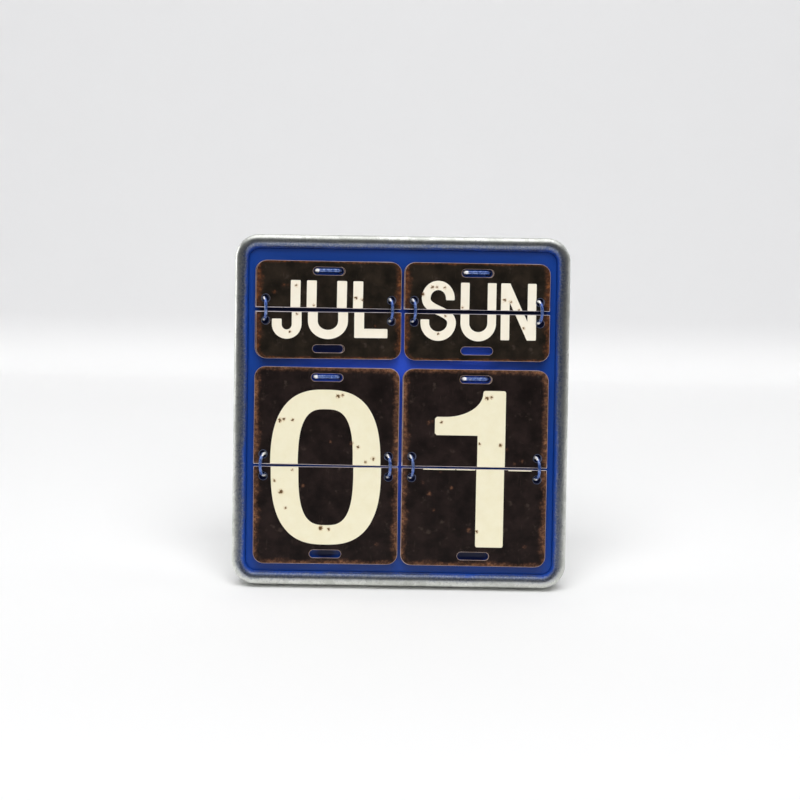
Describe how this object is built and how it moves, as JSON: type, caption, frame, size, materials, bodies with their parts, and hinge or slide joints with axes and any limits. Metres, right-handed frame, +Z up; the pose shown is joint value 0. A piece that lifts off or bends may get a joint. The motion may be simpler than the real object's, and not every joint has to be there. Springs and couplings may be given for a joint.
{
  "type": "perpetual desk calendar",
  "caption": "Metal perpetual desk calendar with flip plates for month, weekday and day, hung on wire loops in a leaning case with a folding strut.",
  "frame": {"origin": "on the desk, under the middle of the box round the calendar with its strut open", "axes": "+Z up, the lettered face looks along -Y and leans back 9 degrees, +X runs to the right as the face is read"},
  "size_m": [0.173, 0.0598, 0.1807],
  "materials": {
    "galvanised_steel": "dull spangled zinc",
    "blue_enamel": "satin blue enamel",
    "blue_wire": "gloss blue enamel over wire",
    "printed_tinplate": "dark worn print with rusty borders and cream lettering",
    "zinc_plated_steel": "satin zinc plate",
    "rivet_steel": "satin"
  },
  "bodies": {
    "case": {"frame": "galvanised_steel", "panel": "blue_enamel", "back_plate": "galvanised_steel", "bracket": "zinc_plated_steel", "hinge_pin": "zinc_plated_steel", "rivet_1": "rivet_steel", "rivet_2": "rivet_steel", "rivet_3": "rivet_steel", "rivet_4": "rivet_steel", "loop_month_left": "blue_wire", "loop_month_right": "blue_wire", "loop_weekday_left": "blue_wire", "loop_weekday_right": "blue_wire", "loop_tens_left": "blue_wire", "loop_tens_right": "blue_wire", "loop_units_left": "blue_wire", "loop_units_right": "blue_wire", "keeper_month": "blue_wire", "keeper_weekday": "blue_wire", "keeper_tens": "blue_wire", "keeper_units": "blue_wire"},
    "strut": {"strut": "zinc_plated_steel"},
    "month_upper_1": {"month_upper_1": "printed_tinplate"},
    "month_upper_2": {"month_upper_2": "printed_tinplate"},
    "month_upper_3": {"month_upper_3": "printed_tinplate"},
    "month_upper_4": {"month_upper_4": "printed_tinplate"},
    "month_upper_5": {"month_upper_5": "printed_tinplate"},
    "month_upper_6": {"month_upper_6": "printed_tinplate"},
    "month_lower_1": {"month_lower_1": "printed_tinplate"},
    "month_lower_2": {"month_lower_2": "printed_tinplate"},
    "month_lower_3": {"month_lower_3": "printed_tinplate"},
    "month_lower_4": {"month_lower_4": "printed_tinplate"},
    "month_lower_5": {"month_lower_5": "printed_tinplate"},
    "month_lower_6": {"month_lower_6": "printed_tinplate"},
    "month_lower_7": {"month_lower_7": "printed_tinplate"},
    "weekday_upper_1": {"weekday_upper_1": "printed_tinplate"},
    "weekday_upper_2": {"weekday_upper_2": "printed_tinplate"},
    "weekday_upper_3": {"weekday_upper_3": "printed_tinplate"},
    "weekday_upper_4": {"weekday_upper_4": "printed_tinplate"},
    "weekday_upper_5": {"weekday_upper_5": "printed_tinplate"},
    "weekday_upper_6": {"weekday_upper_6": "printed_tinplate"},
    "weekday_upper_7": {"weekday_upper_7": "printed_tinplate"},
    "weekday_lower_1": {"weekday_lower_1": "printed_tinplate"},
    "tens_upper_1": {"tens_upper_1": "printed_tinplate"},
    "tens_upper_2": {"tens_upper_2": "printed_tinplate"},
    "tens_upper_3": {"tens_upper_3": "printed_tinplate"},
    "tens_upper_4": {"tens_upper_4": "printed_tinplate"},
    "tens_lower_1": {"tens_lower_1": "printed_tinplate"},
    "units_upper_1": {"units_upper_1": "printed_tinplate"},
    "units_upper_2": {"units_upper_2": "printed_tinplate"},
    "units_upper_3": {"units_upper_3": "printed_tinplate"},
    "units_upper_4": {"units_upper_4": "printed_tinplate"},
    "units_upper_5": {"units_upper_5": "printed_tinplate"},
    "units_upper_6": {"units_upper_6": "printed_tinplate"},
    "units_upper_7": {"units_upper_7": "printed_tinplate"},
    "units_upper_8": {"units_upper_8": "printed_tinplate"},
    "units_upper_9": {"units_upper_9": "printed_tinplate"},
    "units_lower_1": {"units_lower_1": "printed_tinplate"},
    "units_lower_2": {"units_lower_2": "printed_tinplate"}
  },
  "joints": [
    {"name": "strut_fold", "type": "hinge", "parent": "case", "child": "strut", "pos_m": [0, 0.00631, 0.09776], "axis": [1, 0, 0], "range_deg": [-22.5, 0]},
    {"name": "month_upper_1_flip", "type": "hinge", "parent": "month_upper_2", "child": "month_upper_1", "pos_m": [-0.03825, -0.00793, 0.14304], "axis": [1, 0, 0], "range_deg": [0, 180]},
    {"name": "month_upper_2_flip", "type": "hinge", "parent": "month_upper_3", "child": "month_upper_2", "pos_m": [-0.03825, -0.00793, 0.14304], "axis": [1, 0, 0], "range_deg": [0, 180]},
    {"name": "month_upper_3_flip", "type": "hinge", "parent": "month_upper_4", "child": "month_upper_3", "pos_m": [-0.03825, -0.00793, 0.14304], "axis": [1, 0, 0], "range_deg": [0, 180]},
    {"name": "month_upper_4_flip", "type": "hinge", "parent": "month_upper_5", "child": "month_upper_4", "pos_m": [-0.03825, -0.00793, 0.14304], "axis": [1, 0, 0], "range_deg": [0, 180]},
    {"name": "month_upper_5_flip", "type": "hinge", "parent": "month_upper_6", "child": "month_upper_5", "pos_m": [-0.03825, -0.00793, 0.14304], "axis": [1, 0, 0], "range_deg": [0, 180]},
    {"name": "month_upper_6_flip", "type": "hinge", "parent": "case", "child": "month_upper_6", "pos_m": [-0.03825, -0.00793, 0.14304], "axis": [1, 0, 0], "range_deg": [0, 180]},
    {"name": "month_lower_1_flip", "type": "hinge", "parent": "month_lower_2", "child": "month_lower_1", "pos_m": [-0.03825, -0.00793, 0.14304], "axis": [-1, 0, 0], "range_deg": [0, 180]},
    {"name": "month_lower_2_flip", "type": "hinge", "parent": "month_lower_3", "child": "month_lower_2", "pos_m": [-0.03825, -0.00793, 0.14304], "axis": [-1, 0, 0], "range_deg": [0, 180]},
    {"name": "month_lower_3_flip", "type": "hinge", "parent": "month_lower_4", "child": "month_lower_3", "pos_m": [-0.03825, -0.00793, 0.14304], "axis": [-1, 0, 0], "range_deg": [0, 180]},
    {"name": "month_lower_4_flip", "type": "hinge", "parent": "month_lower_5", "child": "month_lower_4", "pos_m": [-0.03825, -0.00793, 0.14304], "axis": [-1, 0, 0], "range_deg": [0, 180]},
    {"name": "month_lower_5_flip", "type": "hinge", "parent": "month_lower_6", "child": "month_lower_5", "pos_m": [-0.03825, -0.00793, 0.14304], "axis": [-1, 0, 0], "range_deg": [0, 180]},
    {"name": "month_lower_6_flip", "type": "hinge", "parent": "month_lower_7", "child": "month_lower_6", "pos_m": [-0.03825, -0.00793, 0.14304], "axis": [-1, 0, 0], "range_deg": [0, 180]},
    {"name": "month_lower_7_flip", "type": "hinge", "parent": "case", "child": "month_lower_7", "pos_m": [-0.03825, -0.00793, 0.14304], "axis": [-1, 0, 0], "range_deg": [0, 180]},
    {"name": "weekday_upper_1_flip", "type": "hinge", "parent": "weekday_upper_2", "child": "weekday_upper_1", "pos_m": [0.03825, -0.00793, 0.14304], "axis": [1, 0, 0], "range_deg": [0, 180]},
    {"name": "weekday_upper_2_flip", "type": "hinge", "parent": "weekday_upper_3", "child": "weekday_upper_2", "pos_m": [0.03825, -0.00793, 0.14304], "axis": [1, 0, 0], "range_deg": [0, 180]},
    {"name": "weekday_upper_3_flip", "type": "hinge", "parent": "weekday_upper_4", "child": "weekday_upper_3", "pos_m": [0.03825, -0.00793, 0.14304], "axis": [1, 0, 0], "range_deg": [0, 180]},
    {"name": "weekday_upper_4_flip", "type": "hinge", "parent": "weekday_upper_5", "child": "weekday_upper_4", "pos_m": [0.03825, -0.00793, 0.14304], "axis": [1, 0, 0], "range_deg": [0, 180]},
    {"name": "weekday_upper_5_flip", "type": "hinge", "parent": "weekday_upper_6", "child": "weekday_upper_5", "pos_m": [0.03825, -0.00793, 0.14304], "axis": [1, 0, 0], "range_deg": [0, 180]},
    {"name": "weekday_upper_6_flip", "type": "hinge", "parent": "weekday_upper_7", "child": "weekday_upper_6", "pos_m": [0.03825, -0.00793, 0.14304], "axis": [1, 0, 0], "range_deg": [0, 180]},
    {"name": "weekday_upper_7_flip", "type": "hinge", "parent": "case", "child": "weekday_upper_7", "pos_m": [0.03825, -0.00793, 0.14304], "axis": [1, 0, 0], "range_deg": [0, 180]},
    {"name": "weekday_lower_1_flip", "type": "hinge", "parent": "case", "child": "weekday_lower_1", "pos_m": [0.03825, -0.00793, 0.14304], "axis": [-1, 0, 0], "range_deg": [0, 180]},
    {"name": "tens_upper_1_flip", "type": "hinge", "parent": "tens_upper_2", "child": "tens_upper_1", "pos_m": [-0.03825, -0.02051, 0.06363], "axis": [1, 0, 0], "range_deg": [0, 180]},
    {"name": "tens_upper_2_flip", "type": "hinge", "parent": "tens_upper_3", "child": "tens_upper_2", "pos_m": [-0.03825, -0.02051, 0.06363], "axis": [1, 0, 0], "range_deg": [0, 180]},
    {"name": "tens_upper_3_flip", "type": "hinge", "parent": "tens_upper_4", "child": "tens_upper_3", "pos_m": [-0.03825, -0.02051, 0.06363], "axis": [1, 0, 0], "range_deg": [0, 180]},
    {"name": "tens_upper_4_flip", "type": "hinge", "parent": "case", "child": "tens_upper_4", "pos_m": [-0.03825, -0.02051, 0.06363], "axis": [1, 0, 0], "range_deg": [0, 180]},
    {"name": "tens_lower_1_flip", "type": "hinge", "parent": "case", "child": "tens_lower_1", "pos_m": [-0.03825, -0.02051, 0.06363], "axis": [-1, 0, 0], "range_deg": [0, 180]},
    {"name": "units_upper_1_flip", "type": "hinge", "parent": "units_upper_2", "child": "units_upper_1", "pos_m": [0.03825, -0.02051, 0.06363], "axis": [1, 0, 0], "range_deg": [0, 180]},
    {"name": "units_upper_2_flip", "type": "hinge", "parent": "units_upper_3", "child": "units_upper_2", "pos_m": [0.03825, -0.02051, 0.06363], "axis": [1, 0, 0], "range_deg": [0, 180]},
    {"name": "units_upper_3_flip", "type": "hinge", "parent": "units_upper_4", "child": "units_upper_3", "pos_m": [0.03825, -0.02051, 0.06363], "axis": [1, 0, 0], "range_deg": [0, 180]},
    {"name": "units_upper_4_flip", "type": "hinge", "parent": "units_upper_5", "child": "units_upper_4", "pos_m": [0.03825, -0.02051, 0.06363], "axis": [1, 0, 0], "range_deg": [0, 180]},
    {"name": "units_upper_5_flip", "type": "hinge", "parent": "units_upper_6", "child": "units_upper_5", "pos_m": [0.03825, -0.02051, 0.06363], "axis": [1, 0, 0], "range_deg": [0, 180]},
    {"name": "units_upper_6_flip", "type": "hinge", "parent": "units_upper_7", "child": "units_upper_6", "pos_m": [0.03825, -0.02051, 0.06363], "axis": [1, 0, 0], "range_deg": [0, 180]},
    {"name": "units_upper_7_flip", "type": "hinge", "parent": "units_upper_8", "child": "units_upper_7", "pos_m": [0.03825, -0.02051, 0.06363], "axis": [1, 0, 0], "range_deg": [0, 180]},
    {"name": "units_upper_8_flip", "type": "hinge", "parent": "units_upper_9", "child": "units_upper_8", "pos_m": [0.03825, -0.02051, 0.06363], "axis": [1, 0, 0], "range_deg": [0, 180]},
    {"name": "units_upper_9_flip", "type": "hinge", "parent": "case", "child": "units_upper_9", "pos_m": [0.03825, -0.02051, 0.06363], "axis": [1, 0, 0], "range_deg": [0, 180]},
    {"name": "units_lower_1_flip", "type": "hinge", "parent": "units_lower_2", "child": "units_lower_1", "pos_m": [0.03825, -0.02051, 0.06363], "axis": [-1, 0, 0], "range_deg": [0, 180]},
    {"name": "units_lower_2_flip", "type": "hinge", "parent": "case", "child": "units_lower_2", "pos_m": [0.03825, -0.02051, 0.06363], "axis": [-1, 0, 0], "range_deg": [0, 180]}
  ]
}
